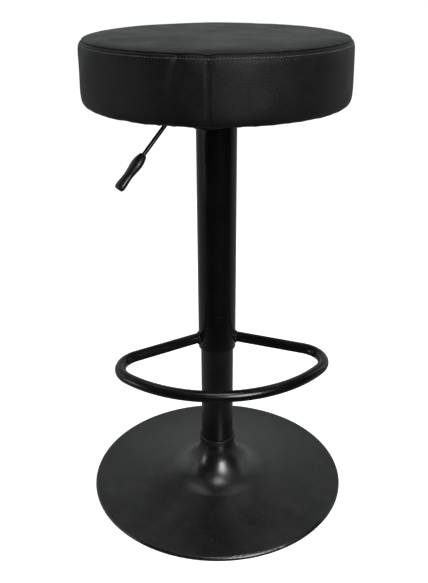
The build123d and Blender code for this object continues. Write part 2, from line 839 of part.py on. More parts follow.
# Moulded grip, oval along the rod, with finger notches under its end
along_grip = lever_plane.from_local_coords(lever_down) - lever_plane.origin
grip_start = lever_plane.from_local_coords(down_lever(lever_length - grip_length))
grip_stations = (
    (0.0, 0.60, 0.66),
    (0.10, 0.86, 0.92),
    (0.40, 1.0, 1.0),
    (0.80, 0.96, 0.92),
    (0.96, 0.90, 0.86),
    (1.0, 0.66, 0.62),
)  # share of the length, then of the width and of the height
with BuildPart() as lever_grip:
    for share, wide, high in grip_stations:
        station = grip_start + along_grip * (grip_length * share)
        with BuildSketch(Plane(origin=station, x_dir=lever_plane.z_dir, z_dir=along_grip)):
            Ellipse(grip_width / 2 * wide, grip_height / 2 * high)
    loft(ruled=False)
    with BuildSketch(Plane(origin=grip_start, x_dir=lever_plane.z_dir, z_dir=along_grip)):
        Circle(lever_rod_radius)
    extrude(amount=grip_length * 3 / 4, mode=Mode.SUBTRACT)
    under = lever_down.rotate(Axis.Z, -90)
    for share in (0.62, 0.75, 0.88):
        notch = Vector(down_lever(lever_length - grip_length * (1 - share)))
        notch += under * (grip_height / 2 + grip_notch_radius - grip_notch_depth)
        with BuildSketch(lever_plane.offset(-grip_width)):
            with Locations(notch):
                Circle(grip_notch_radius)
        extrude(amount=2 * grip_width, mode=Mode.SUBTRACT)
save(lever_grip.part, "lever_grip")

# ---- Upholstered seat ----
# Plywood board, bored and counterbored for the tee nuts
with BuildPart() as seat_board:
    with BuildSketch(level_plane(board_bottom)):
        Circle(board_radius)
    extrude(amount=board_thickness)
    with BuildSketch(mechanism_plane(board_bottom)):
        with bolt_places:
            Circle(tee_barrel_radius)
    extrude(amount=board_thickness, mode=Mode.SUBTRACT)
    with BuildSketch(mechanism_plane(board_top - tee_nut_flange)):
        with bolt_places:
            Circle(tee_nut_radius)
    extrude(amount=tee_nut_flange, mode=Mode.SUBTRACT)
save(seat_board.part, "seat_board")


def top_curve(inset):
    """The top panel's outline: a shallow crown, then a soft shoulder down to the seam."""
    shoulder = (seat_radius - shoulder_width - inset / 2, seat_top - crown_height - inset)
    crown_radius = (shoulder[0] ** 2 + crown_height**2) / (2 * crown_height)
    crown = RadiusArc((0, seat_top - inset), shoulder, crown_radius)
    TangentArc(crown @ 1, (seat_radius - inset, seam_height), tangent=crown % 1)


def side_curve(inset):
    """The side band's outline: upright, then rounded under to the flat underside."""
    bend = seat_bottom + seat_lower_round
    Line((seat_radius - inset, seam_height), (seat_radius - inset, bend))
    under = (seat_radius - seat_lower_round, seat_bottom + inset)
    TangentArc((seat_radius - inset, bend), under, tangent=(0, -1))
    return under


with BuildPart() as cover_top_panel:
    with BuildSketch(Plane.XZ):
        with BuildLine():
            top_curve(0)
            Line((seat_radius, seam_height), (seat_radius - cover_thickness, seam_height))
            top_curve(cover_thickness)
            Line((0, seat_top - cover_thickness), (0, seat_top))
        make_face()
    revolve(axis=Axis.Z)
save(cover_top_panel.part, "cover_top_panel")

dust_inner = plate_reach + dust_cover_gap
hem_inner = dust_inner + dust_cover_inside
hem_width = board_radius - hem_inner
with BuildPart() as cover_side_band:
    with BuildSketch(Plane.XZ):
        with BuildLine():
            Line((seat_radius - cover_thickness, seam_height), (seat_radius, seam_height))
            outer = side_curve(0)
            inner = side_curve(cover_thickness)
            Polyline(outer, (hem_inner, seat_bottom), (hem_inner, board_bottom), inner)
        make_face()
    revolve(axis=Axis.Z)
save(cover_side_band.part, "cover_side_band")

with BuildPart() as seat_foam:
    with BuildSketch(Plane.XZ):
        with BuildLine():
            top_curve(cover_thickness)
            inner = side_curve(cover_thickness)
            Polyline(
                inner,
                (board_radius, board_bottom),
                (board_radius, board_top),
                (0, board_top),
                (0, seat_top - cover_thickness),
            )
        make_face()
    revolve(axis=Axis.Z)
save(seat_foam.part, "seat_foam")

# Cloth under the board, over the hem and round the plate, held by staples
dust_outer = hem_inner + hem_width / 2
with BuildPart() as dust_cover:
    with BuildSketch(Plane.XZ):
        with BuildLine():
            Polyline(
                (dust_inner, board_bottom),
                (hem_inner - gap, board_bottom),
                (hem_inner - gap, seat_bottom),
                (dust_outer, seat_bottom),
                (dust_outer, seat_bottom - dust_cover_thickness),
                (hem_inner - gap - dust_cover_thickness, seat_bottom - dust_cover_thickness),
                (hem_inner - gap - dust_cover_thickness, board_bottom - dust_cover_thickness),
                (dust_inner, board_bottom - dust_cover_thickness),
                close=True,
            )
        make_face()
    revolve(axis=Axis.Z)
save(dust_cover.part, "dust_cover")

staple_circle = hem_inner + hem_width / 3
staple_bottom = seat_bottom - dust_cover_thickness - staple_wire
with BuildPart() as staples:
    with BuildSketch(level_plane(staple_bottom)):
        with PolarLocations(staple_circle, staple_count):
            Rectangle(staple_wire, staple_crown)
    extrude(amount=staple_wire)
    with BuildSketch(level_plane(staple_bottom)):
        with PolarLocations(staple_circle, staple_count):
            with GridLocations(0, staple_crown - staple_wire, 1, 2):
                Rectangle(staple_wire, staple_wire)
    extrude(amount=staple_leg)
save(staples.part, "staples")
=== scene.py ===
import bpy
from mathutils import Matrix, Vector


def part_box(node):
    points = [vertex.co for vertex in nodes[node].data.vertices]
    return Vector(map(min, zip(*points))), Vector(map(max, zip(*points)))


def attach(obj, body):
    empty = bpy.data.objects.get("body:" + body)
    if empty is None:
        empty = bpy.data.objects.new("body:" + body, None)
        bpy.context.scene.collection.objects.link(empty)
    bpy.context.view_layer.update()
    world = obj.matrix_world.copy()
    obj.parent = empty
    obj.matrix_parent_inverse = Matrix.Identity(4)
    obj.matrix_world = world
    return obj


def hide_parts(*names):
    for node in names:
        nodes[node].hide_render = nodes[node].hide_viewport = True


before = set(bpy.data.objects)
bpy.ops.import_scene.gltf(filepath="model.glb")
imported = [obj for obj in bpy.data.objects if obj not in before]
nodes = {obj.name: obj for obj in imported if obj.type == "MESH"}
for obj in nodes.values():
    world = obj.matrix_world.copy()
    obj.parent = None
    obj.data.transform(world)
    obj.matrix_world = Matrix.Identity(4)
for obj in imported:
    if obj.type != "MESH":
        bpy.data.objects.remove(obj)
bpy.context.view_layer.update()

import bisect
from math import cos, exp, hypot, pi, radians, sin, sqrt, tau

import bpy
from mathutils import Matrix, Vector, kdtree, noise

# Bar stool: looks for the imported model. Metres, the same frame as the model's: the origin is on
# the floor at the column's axis, +Z up, and the footrest points along -Y.

# ---- Sizes read from the model ----
band_low, band_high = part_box("cover_side_band")
footrest_low, footrest_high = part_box("footrest")
cloth_low, cloth_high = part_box("dust_cover")
board_low, board_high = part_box("seat_board")
seat_radius = band_high.x
seat_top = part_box("cover_top_panel")[1].z
seat_bottom = band_low.z
column_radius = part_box("upper_tube")[1].x

# ---- Sizes of the looks ----
leather_wall = 0.0012
seam_radius = 0.1745  # where the top panel meets the side band
stitch_count = 268  # round the side band's upper edge
stitch_drop = 0.0108  # seat's top to the row of stitches
seat_sides = 3 * stitch_count  # points round the cover near its seam
join_angle = radians(-98.6)  # upright join in the side band, from +X
dent_angle = radians(-108.3)
hem_pleats = 58  # folds of the hem under the board
cover_follow = 0.5  # share of the pad's swell that the cover's edge and band follow
crown_follow = 0.2  # the same at the top's middle
pad_inset = 0.0016  # cover's outside to the pad's
pad_swell = 0.0022  # room left for the pad to swell into
pad_cap = 0.004  # furthest that a point of the pad may move
pad_sides = 128
pad_steps = 96
cloth_wall = 0.0005
hem_edge = 0.1293  # inner edge of the leather's hem
cloth_inner = 0.1093  # dust cover's hole
staple_ring = 0.1429
staple_count = 24
footrest_arm_lean = radians(26.8)  # footrest arms, forward from X


# ---- Node trees ----
class Graph:
    """Fills a node tree; an input takes a number, a colour or another node's output."""

    def __init__(self, tree):
        self.tree = tree
        tree.nodes.clear()

    def feed(self, socket, value):
        if isinstance(value, bpy.types.NodeSocket):
            self.tree.links.new(value, socket)
        else:
            socket.default_value = value

    def put(self, kind, inputs=None, **settings):
        node = self.tree.nodes.new(kind)
        for key, value in settings.items():
            setattr(node, key, value)
        for key, value in (inputs or {}).items():
            self.feed(node.inputs[key], value)
        return node

    def math(self, operation, *values):
        node = self.put("ShaderNodeMath", operation=operation)
        for socket, value in zip(node.inputs, values):
            self.feed(socket, value)
        return node.outputs[0]

    def vector_math(self, operation, *values):
        node = self.put("ShaderNodeVectorMath", operation=operation)
        for socket, value in zip(node.inputs, values):
            self.feed(socket, value)
        return node.outputs[0]

    def noise(self, place, scale, detail=2.0, rough=0.5):
        inputs = {"Vector": place, "Scale": scale, "Detail": detail, "Roughness": rough}
        return self.put("ShaderNodeTexNoise", inputs).outputs[0]

    def stretch(self, place, scale):
        return self.put("ShaderNodeMapping", {"Vector": place, "Scale": scale}).outputs[0]

    def ramp(self, value, low, high, start=0.0, end=1.0):
        """Smooth step from start to end while the value goes from low to high."""
        inputs = {"Value": value, "From Min": low, "From Max": high, "To Min": start, "To Max": end}
        return self.put("ShaderNodeMapRange", inputs, interpolation_type="SMOOTHSTEP").outputs[0]

    def scale(self, value, start, end):
        """A value from 0 to 1 spread from start to end."""
        inputs = {"Value": value, "To Min": start, "To Max": end}
        return self.put("ShaderNodeMapRange", inputs).outputs[0]

    def mix(self, factor, first, second):
        node = self.put("ShaderNodeMix", data_type="RGBA")
        for index, value in ((0, factor), (6, first), (7, second)):
            self.feed(node.inputs[index], value)
        return node.outputs[2]

    def effect(self, tree, **inputs):
        return self.put("ShaderNodeGroup", inputs, node_tree=tree).outputs


def effect_tree(name, numbers, outputs):
    """Empty shader effect with a place to read and named numbers going in."""
    tree = bpy.data.node_groups.new(name, "ShaderNodeTree")
    tree.interface.new_socket("Place", in_out="INPUT", socket_type="NodeSocketVector")
    for number, value in numbers.items():
        socket = tree.interface.new_socket(number, in_out="INPUT", socket_type="NodeSocketFloat")
        socket.default_value = value
    for output in outputs:
        tree.interface.new_socket(output, in_out="OUTPUT", socket_type="NodeSocketFloat")
    graph = Graph(tree)
    given = graph.put("NodeGroupInput").outputs
    result = graph.put("NodeGroupOutput").inputs
    return tree, graph, given, result


def powder_coat_effect():
    """Orange peel of a sprayed and baked coat."""
    tree, g, given, result = effect_tree("powder coat texture", {"Grain": 900.0}, ["Height"])
    fine = g.noise(given["Place"], given["Grain"], 3.0, 0.6)
    broad = g.noise(given["Place"], g.math("MULTIPLY", given["Grain"], 0.18), 1.0)
    fine, broad = g.math("MULTIPLY", fine, 0.45), g.math("MULTIPLY", broad, 0.55)
    g.feed(result["Height"], g.math("ADD", fine, broad))
    return tree


def handling_effect():
    """Hairline scratches and the cloudy smudges of hands."""
    tree, g, given, result = effect_tree(
        "handling marks", {"Scratches": 0.3, "Smudges": 14.0}, ["Scratch", "Smudge"]
    )
    lines = 0.0
    for index, stretch in enumerate(((9.0, 95.0, 40.0), (80.0, 12.0, 25.0))):
        bent = g.stretch(given["Place"], stretch)
        ridge = g.math("ABSOLUTE", g.math("SUBTRACT", g.noise(bent, 1.0, 2.0, 0.35), 0.5 + 0.04 * index))
        lines = g.math("MAXIMUM", g.ramp(ridge, 0.0, 0.006, 1.0, 0.0), lines)
    where = g.ramp(g.noise(given["Place"], 21.0, 2.0), 0.56, 0.68)
    g.feed(result["Scratch"], g.math("MULTIPLY", g.math("MULTIPLY", lines, where), given["Scratches"]))
    g.feed(result["Smudge"], g.ramp(g.noise(given["Place"], given["Smudges"], 4.0, 0.6), 0.38, 0.66))
    return tree


def dust_effect():
    """Thin dust on what faces up, in patches and specks."""
    tree, g, given, result = effect_tree("settled dust", {"Facing": 0.0, "Amount": 0.1}, ["Dust"])
    up = g.ramp(given["Facing"], 0.35, 0.95)
    patches = g.ramp(g.noise(given["Place"], 33.0, 5.0, 0.65), 0.42, 0.7)
    specks = g.ramp(g.noise(given["Place"], 1300.0, 1.0), 0.74, 0.8)
    cover = g.math("ADD", g.math("MULTIPLY", patches, 0.6), specks)
    g.feed(result["Dust"], g.math("MULTIPLY", g.math("MULTIPLY", up, cover), given["Amount"]))
    return tree


def leather_effect():
    """Pebbled grain: rounded cells between fine creases, with pores and soft wrinkles."""
    tree, g, given, result = effect_tree(
        "leather grain", {"Cells": 640.0, "Wrinkles": 0.35}, ["Height", "Crease", "Tone"]
    )
    shift = g.put("ShaderNodeTexNoise", {"Vector": given["Place"], "Scale": 210.0, "Detail": 2.0}).outputs[1]
    shift = g.vector_math("MULTIPLY", shift, (0.0018, 0.0018, 0.0018))
    bent = g.vector_math("ADD", given["Place"], shift)
    inputs = {"Vector": bent, "Scale": given["Cells"]}
    edge = g.put("ShaderNodeTexVoronoi", inputs, feature="DISTANCE_TO_EDGE").outputs["Distance"]
    crease = g.ramp(edge, 0.0, 0.16, 1.0, 0.0)
    dome = g.ramp(edge, 0.0, 0.42)
    pores = g.ramp(g.noise(given["Place"], 2400.0, 1.0), 0.64, 0.74)
    folds = g.noise(g.stretch(bent, (1.0, 1.0, 1.6)), 52.0, 4.0, 0.6)
    height = g.math("SUBTRACT", g.math("MULTIPLY", dome, 0.6), g.math("MULTIPLY", pores, 0.14))
    g.feed(result["Height"], g.math("MULTIPLY_ADD", folds, given["Wrinkles"], height))
    g.feed(result["Crease"], crease)
    g.feed(result["Tone"], g.ramp(g.noise(given["Place"], 19.0, 5.0, 0.62), 0.3, 0.7))
    return tree


def machined_effect():
    """Fine lines left by turning or drawing, closest along the second number's axis."""
    numbers = {"Across": 40.0, "Along": 2600.0}
    tree, g, given, result = effect_tree("machined lines", numbers, ["Height", "Tone"])
    sides = g.put("ShaderNodeCombineXYZ", {"X": given["Across"], "Y": given["Across"], "Z": given["Along"]})
    drawn = g.vector_math("MULTIPLY", given["Place"], sides.outputs[0])
    g.feed(result["Height"], g.noise(drawn, 1.0, 3.0, 0.6))
    g.feed(result["Tone"], g.ramp(g.noise(given["Place"], 70.0, 4.0, 0.6), 0.3, 0.7))
    return tree


def moulded_effect():
    """Spark-eroded texture of a moulded plastic surface, with faint flow marks."""
    tree, g, given, result = effect_tree("moulded texture", {"Grain": 1500.0}, ["Height", "Tone"])
    pits = g.noise(given["Place"], given["Grain"], 2.0, 0.7)
    flow = g.noise(g.stretch(given["Place"], (30.0, 30.0, 140.0)), 1.0, 3.0)
    g.feed(result["Height"], pits)
    g.feed(result["Tone"], g.ramp(flow, 0.35, 0.65))
    return tree


powder_coat = powder_coat_effect()
handling = handling_effect()
settled_dust = dust_effect()
leather_grain = leather_effect()
machined = machined_effect()
moulded = moulded_effect()


# ---- Finishes ----
def new_finish(name, constants):
    """Material with one shader; its numbers that are the same all over are set on the shader."""
    material = bpy.data.materials.new(name)
    material.use_nodes = True
    graph = Graph(material.node_tree)
    shader = graph.put("ShaderNodeBsdfPrincipled", constants)
    graph.put("ShaderNodeOutputMaterial", {"Surface": shader.outputs["BSDF"]})
    place = graph.put("ShaderNodeTexCoord").outputs
    return material, graph, shader.inputs, place


def bump(graph, height, depth, strength=1.0):
    inputs = {"Height": height, "Distance": depth, "Strength": strength}
    return graph.put("ShaderNodeBump", inputs).outputs["Normal"]


def facing_up(graph, place):
    return graph.put("ShaderNodeSeparateXYZ", {"Vector": place["Normal"]}).outputs["Z"]


DUST_COLOUR = (0.30, 0.29, 0.27, 1.0)


def paint(name, tone, rough, specular, peel=800.0, depth=0.00012, dust=0.05, scratches=0.25, coat=0.0):
    """Black powder coat: orange peel, smudges, hairline scratches and a trace of dust."""
    material, g, shader, place = new_finish(name, {"Specular IOR Level": specular, "Coat Roughness": 0.12})
    spot = place["Object"]
    texture = g.effect(powder_coat, Place=spot, Grain=peel)
    marks = g.effect(handling, Place=spot, Scratches=scratches)
    dirt = g.effect(settled_dust, Place=spot, Facing=facing_up(g, place), Amount=dust)
    worn = g.mix(g.math("MULTIPLY", marks["Scratch"], 0.5), tone, (0.10, 0.10, 0.105, 1.0))
    cloudy = g.mix(g.math("MULTIPLY", marks["Smudge"], 0.35), worn, [1.5 * c for c in tone[:3]] + [1.0])
    g.feed(shader["Base Color"], g.mix(dirt["Dust"], cloudy, DUST_COLOUR))
    gloss = g.scale(marks["Smudge"], rough - 0.035, rough + 0.045)
    g.feed(shader["Roughness"], g.math("ADD", gloss, g.math("MULTIPLY", dirt["Dust"], 0.5)))
    g.feed(shader["Normal"], bump(g, texture["Height"], depth))
    if coat:
        g.feed(shader["Coat Weight"], g.scale(marks["Smudge"], coat, 0.7 * coat))
    return material


def leather(name, tone, rough=0.42, wrinkles=0.35, depth=0.00030):
    """Black synthetic leather: pebbled grain, duller creases darkened with painted shade, a soft sheen and
    rubbed patches.
    """
    constants = {"Specular IOR Level": 0.17, "Sheen Weight": 0.01, "Sheen Roughness": 0.45}
    constants["Sheen Tint"] = (0.85, 0.92, 1.0, 1.0)
    material, g, shader, place = new_finish(name, constants)
    spot = place["Object"]
    grain = g.effect(leather_grain, Place=spot, Wrinkles=wrinkles)
    dirt = g.effect(settled_dust, Place=spot, Facing=facing_up(g, place), Amount=0.05)
    crease_shade = [0.45 * c for c in tone[:3]] + [1.0]
    pale = [1.7 * c for c in tone[:3]] + [1.0]
    body = g.mix(grain["Tone"], tone, pale)
    # painted shade: the colour is darkened in the grain's creases, where the bump dips
    body = g.mix(g.math("MULTIPLY", grain["Crease"], 0.7), body, crease_shade)
    g.feed(shader["Base Color"], g.mix(dirt["Dust"], body, DUST_COLOUR))
    gloss = g.scale(grain["Tone"], rough - 0.05, rough + 0.07)
    g.feed(shader["Roughness"], g.math("MULTIPLY_ADD", grain["Crease"], 0.12, gloss))
    g.feed(shader["Normal"], bump(g, grain["Height"], depth, 0.55))
    return material


def metal(name, tone, rough, across=40.0, along=2600.0, depth=0.00002, dull=0.5, specular=0.5):
    """Bare or plated metal: tool lines, tarnish clouds and smudges."""
    material, g, shader, place = new_finish(name, {"Metallic": 1.0, "Specular IOR Level": specular})
    spot = place["Object"]
    lines = g.effect(machined, Place=spot, Across=across, Along=along)
    marks = g.effect(handling, Place=spot, Scratches=0.4, Smudges=60.0)
    dark = [dull * c for c in tone[:3]] + [1.0]
    tarnished = g.mix(g.math("MULTIPLY", lines["Tone"], 0.5), tone, dark)
    g.feed(shader["Base Color"], g.mix(g.math("MULTIPLY", lines["Height"], 0.25), tarnished, dark))
    gloss = g.scale(lines["Height"], rough - 0.06, rough + 0.1)
    g.feed(shader["Roughness"], g.math("MULTIPLY_ADD", marks["Smudge"], 0.12, gloss))
    g.feed(shader["Normal"], bump(g, lines["Height"], depth))
    return material


def plastic(name, tone, rough, grain=1500.0, depth=0.00006, specular=0.4, below=0.0):
    """Moulded plastic or rubber."""
    constants = {"Specular IOR Level": specular, "Subsurface Weight": below}
    material, g, shader, place = new_finish(name, constants)
    spot = place["Object"]
    texture = g.effect(moulded, Place=spot, Grain=grain)
    dirt = g.effect(settled_dust, Place=spot, Facing=facing_up(g, place), Amount=0.12)
    pale = [1.35 * c for c in tone[:3]] + [1.0]
    g.feed(shader["Base Color"], g.mix(dirt["Dust"], g.mix(texture["Tone"], tone, pale), DUST_COLOUR))
    g.feed(shader["Roughness"], g.scale(texture["Tone"], rough - 0.05, rough + 0.06))
    g.feed(shader["Normal"], bump(g, texture["Height"], depth))
    return material


def plywood_finish():
    """Birch plywood: long grain on the faces, dark and light plies round the edge."""
    material, g, shader, place = new_finish("birch plywood", {"Specular IOR Level": 0.3})
    spot = place["Object"]
    drawn = g.stretch(spot, (28.0, 420.0, 300.0))
    fibres = g.noise(drawn, 1.0, 5.0, 0.62)
    rings = g.ramp(g.noise(g.stretch(spot, (5.0, 55.0, 20.0)), 1.0, 3.0), 0.35, 0.7)
    face = g.mix(fibres, (0.52, 0.36, 0.20, 1.0), (0.72, 0.56, 0.36, 1.0))
    face = g.mix(g.math("MULTIPLY", rings, 0.5), face, (0.44, 0.28, 0.14, 1.0))
    height = g.put("ShaderNodeSeparateXYZ", {"Vector": spot}).outputs["Z"]
    ply = g.math("PINGPONG", g.math("SUBTRACT", height, board_low.z), (board_high.z - board_low.z) / 6)
    ply_edge = g.ramp(ply, 0.0006, 0.0013)
    side = g.mix(ply_edge, (0.30, 0.18, 0.09, 1.0), (0.66, 0.48, 0.29, 1.0))
    up = g.math("ABSOLUTE", facing_up(g, place))
    g.feed(shader["Base Color"], g.mix(g.ramp(up, 0.3, 0.7), side, face))
    g.feed(shader["Roughness"], g.scale(fibres, 0.5, 0.75))
    g.feed(shader["Normal"], bump(g, fibres, 0.0002))
    return material


def foam_finish():
    """Open-cell foam: pores darkened with painted shade, and yellowing."""
    constants = {"Specular IOR Level": 0.15, "Subsurface Weight": 0.15}
    material, g, shader, place = new_finish("open-cell foam", constants)
    spot = place["Object"]
    inputs = {"Vector": spot, "Scale": 900.0}
    cells = g.put("ShaderNodeTexVoronoi", inputs).outputs["Distance"]
    age = g.ramp(g.noise(spot, 12.0, 4.0), 0.3, 0.7)
    body = g.mix(age, (0.86, 0.80, 0.58, 1.0), (0.72, 0.60, 0.36, 1.0))
    # painted shade: the colour is darkened in the pores, where the bump dips
    g.feed(shader["Base Color"], g.mix(g.ramp(cells, 0.1, 0.5, 0.55, 0.0), body, (0.38, 0.30, 0.17, 1.0)))
    g.feed(shader["Roughness"], g.scale(age, 0.82, 0.95))
    g.feed(shader["Normal"], bump(g, cells, 0.0007))
    return material


def dust_cloth_finish():
    """Thin black non-woven cloth: matted fibres pressed with a grid of small dots."""
    material, g, shader, place = new_finish(
        "non-woven dust cloth", {"Specular IOR Level": 0.25, "Sheen Weight": 0.12, "Sheen Roughness": 0.6}
    )
    spot = place["Object"]
    fibres = g.noise(g.stretch(spot, (700.0, 2600.0, 900.0)), 1.0, 4.0, 0.75)
    crossed = g.noise(g.stretch(spot, (2400.0, 650.0, 900.0)), 1.0, 4.0, 0.75)
    matted = g.math("MAXIMUM", fibres, crossed)
    inputs = {"Vector": g.stretch(spot, (1.0, 1.0, 0.0)), "Scale": 620.0, "Randomness": 0.05}
    dots = g.ramp(g.put("ShaderNodeTexVoronoi", inputs).outputs["Distance"], 0.18, 0.34)
    g.feed(shader["Base Color"], g.mix(matted, (0.006, 0.006, 0.006, 1.0), (0.038, 0.038, 0.040, 1.0)))
    g.feed(shader["Roughness"], g.scale(dots, 0.5, 0.85))
    g.feed(shader["Normal"], bump(g, g.math("MULTIPLY_ADD", dots, 0.8, matted), 0.00022))
    return material


def thread_finish():
    """Waxed polyester thread, two plies twisted, with painted shade in the grooves between the plies and a
    painted highlight on their crowns.
    """
    constants = {"Specular IOR Level": 0.5, "Sheen Weight": 0.2}
    material, g, shader, place = new_finish("twisted thread", constants)
    spot = place["Object"]
    inputs = {"Vector": g.stretch(spot, (1.0, 1.0, 1.7)), "Scale": 1900.0, "Distortion": 1.5}
    twist = g.put("ShaderNodeTexWave", inputs, bands_direction="DIAGONAL").outputs[1]
    # painted shade and highlight: the colour is darker in the twist's grooves and lighter on its crowns
    g.feed(shader["Base Color"], g.mix(twist, (0.030, 0.031, 0.034, 1.0), (0.085, 0.088, 0.095, 1.0)))
    g.feed(shader["Roughness"], g.scale(twist, 0.36, 0.55))
    g.feed(shader["Normal"], bump(g, twist, 0.00008))
    return material


BLACK = (0.0042, 0.0043, 0.0047, 1.0)
COLUMN_BLACK = (0.0030, 0.0030, 0.0033, 1.0)
base_paint = paint("satin black base", BLACK, 0.30, 0.75, 620.0, 0.00010, 0.05)
column_paint = paint("black column", COLUMN_BLACK, 0.24, 0.26, 900.0, 0.00006, 0.0, 0.2)
sleeve_paint = paint("black inner column", BLACK, 0.32, 0.35, 900.0, 0.00006, 0.0, 0.3)
bar_paint = paint("black footrest", COLUMN_BLACK, 0.22, 0.42, 900.0, 0.00006, 0.04, 0.5)
bracket_paint = paint("black mechanism", BLACK, 0.36, 0.25, 700.0, 0.00014, 0.0, 0.4)
weld_paint = paint("black over weld", BLACK, 0.20, 0.32, 1500.0, 0.00010, 0.0, 0.0)
black_leather = leather("black synthetic leather", (0.0052, 0.0054, 0.0055, 1.0))
foam = foam_finish()
dust_cloth = dust_cloth_finish()
thread = thread_finish()
black_plastic = plastic("black moulded plastic", (0.006, 0.006, 0.0065, 1.0), 0.42)
black_rubber = plastic("black rubber", (0.011, 0.011, 0.011, 1.0), 0.7, 900.0, 0.00012, 0.25)

finish_of_slot = {
    "satin_black_steel": base_paint,
    "bare_steel": metal("oiled plain steel", (0.36, 0.36, 0.37, 1.0), 0.42, 300.0, 300.0),
    "zinc_steel": metal("bright zinc plate", (0.62, 0.64, 0.66, 1.0), 0.30, 220.0, 220.0, 0.00003, 0.75),
    "bearing_steel": metal("ground bearing steel", (0.68, 0.68, 0.69, 1.0), 0.14, 60.0, 4200.0, 0.00001, 0.7),
    "chromed_rod": metal("polished chrome rod", (0.78, 0.79, 0.81, 1.0), 0.10, 80.0, 5200.0, 0.000006, 0.85),
    "brass": metal("pressed brass", (0.70, 0.52, 0.24, 1.0), 0.30, 240.0, 240.0, 0.00002, 0.6),
    "aluminium": metal("turned aluminium", (0.72, 0.72, 0.73, 1.0), 0.27, 60.0, 3400.0, 0.00002, 0.75),
    "black_plastic": black_plastic,
    "nylon": plastic("natural nylon", (0.72, 0.70, 0.62, 1.0), 0.44, 1100.0, 0.00005, 0.4, 0.1),
    "black_rubber": black_rubber,
    "black_leather": black_leather,
    "plywood": plywood_finish(),
    "foam": foam,
    "black_cloth": dust_cloth,
}
finish_of_node = {
    "upper_tube": column_paint,
    "lower_tube": sleeve_paint,
    "footrest": bar_paint,
    "gas_cylinder": sleeve_paint,
    "seat_plate": bracket_paint,
    "taper_socket": bracket_paint,
    "lever_bracket": bracket_paint,
    "lever_paddle": bracket_paint,
    "lever_rod": paint("black lever rod", COLUMN_BLACK, 0.26, 0.30, 1200.0, 0.00006, 0.0, 0.5),
    "lever_grip": plastic("black lever grip", (0.007, 0.007, 0.0075, 1.0), 0.36, 1300.0, 0.00007, 0.45),
}
for name, node in nodes.items():
    for index, material in enumerate(node.data.materials):
        slot_name = material.name.split(".")[0]
        node.data.materials[index] = finish_of_node.get(name) or finish_of_slot[slot_name]


# ---- Meshes ----
def new_piece(name, points, faces, material):
    mesh = bpy.data.meshes.new(name)
    mesh.from_pydata(points, [], faces)
    mesh.materials.append(material)
    mesh.polygons.foreach_set("use_smooth", [True] * len(mesh.polygons))
    mesh.update()
    piece = bpy.data.objects.new(name, mesh)
    bpy.context.scene.collection.objects.link(piece)
    return piece


def lathe(rings, shape):
    """Points and faces of a grid round Z. Each ring is (station, number of points); shape gives the
    point at a station and an angle. A ring may have a whole number of times its neighbour's points."""
    points, starts = [], []
    for station, count in rings:
        starts.append(len(points))
        points += [shape(station, tau * k / count) for k in range(count)]
    faces = []
    for (_, many), first, (_, other), second in zip(rings, starts, rings[1:], starts[1:]):
        few = min(many, other)
        a, b = many // few, other // few
        for k in range(few):
            near = [first + (a * k + i) % many for i in range(a + 1)]
            far = [second + (b * k + i) % other for i in range(b + 1)]
            if a == 1:
                middle = b // 2
                faces += [(near[0], far[i + 1], far[i]) for i in range(middle)]
                faces.append((near[0], near[1], far[middle + 1], far[middle]))
                faces += [(near[1], far[i + 1], far[i]) for i in range(middle + 1, b)]
            else:
                middle = a // 2
                faces += [(near[i], near[i + 1], far[0]) for i in range(middle)]
                faces.append((near[middle], near[middle + 1], far[1], far[0]))
                faces += [(near[i], near[i + 1], far[1]) for i in range(middle + 1, a)]
    return points, faces


def through(stations):
    """Smooth line through (x, y) points, as a function of the length along them from 0 to 1."""
    lengths = [0.0]
    for (ax, ay), (bx, by) in zip(stations, stations[1:]):
        lengths.append(lengths[-1] + hypot(bx - ax, by - ay))

    def at(share):
        length = share * lengths[-1]
        i = min(max(bisect.bisect_right(lengths, length) - 1, 0), len(stations) - 2)
        span = lengths[i + 1] - lengths[i]
        t = (length - lengths[i]) / span
        here = []
        for axis in (0, 1):
            p = [s[axis] for s in stations]
            before = (p[i + 1] - p[i - 1]) / (lengths[i + 1] - lengths[i - 1]) if i else (p[1] - p[0]) / span
            if i + 2 < len(p):
                after = (p[i + 2] - p[i]) / (lengths[i + 2] - lengths[i])
            else:
                after = (p[i + 1] - p[i]) / span
            here.append(
                p[i] * (1 + 2 * t) * (1 - t) ** 2
                + p[i + 1] * t * t * (3 - 2 * t)
                + span * (before * t * (1 - t) ** 2 - after * t * t * (1 - t))
            )
        return here

    return at


def bell(distance, width):
    return exp(-((distance / width) ** 2))


def turn_between(angle, other):
    return (angle - other + pi) % tau - pi


def ripple(angle, radius, height, wavelength, seed):
    """Smooth noise from -1 to 1 on the seat, of about that wavelength."""
    spot = Vector((radius * cos(angle), radius * sin(angle), height)) / wavelength
    return noise.noise(spot + Vector((seed, 2.3 * seed, 1.7)))


